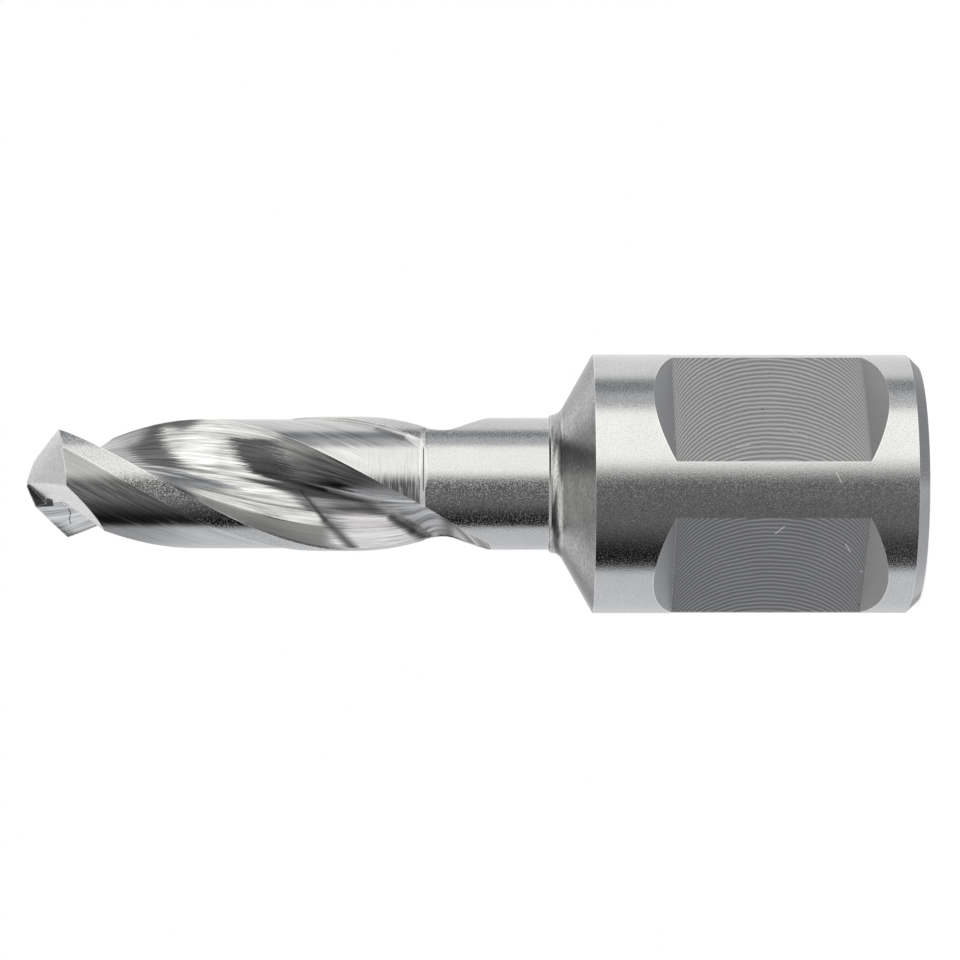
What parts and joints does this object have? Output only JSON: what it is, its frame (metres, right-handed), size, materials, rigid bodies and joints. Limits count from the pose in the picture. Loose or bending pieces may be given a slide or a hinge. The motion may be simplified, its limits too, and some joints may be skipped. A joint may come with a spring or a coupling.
{
  "type": "weldon shank twist drill",
  "caption": "Short twist drill with a split point, right-hand flutes, a coned shoulder and a thick shank with set-screw flats.",
  "frame": {"origin": "centre of the shank's end face", "axes": "+Z along the drill's axis from the end face to the point, +X out of the first shank flat, -Y out of the second"},
  "size_m": [0.019, 0.019, 0.0654],
  "materials": {
    "high_speed_steel": "ground bright, flutes polished"
  },
  "bodies": {
    "root": {"twist_drill": "high_speed_steel"}
  },
  "joints": []
}
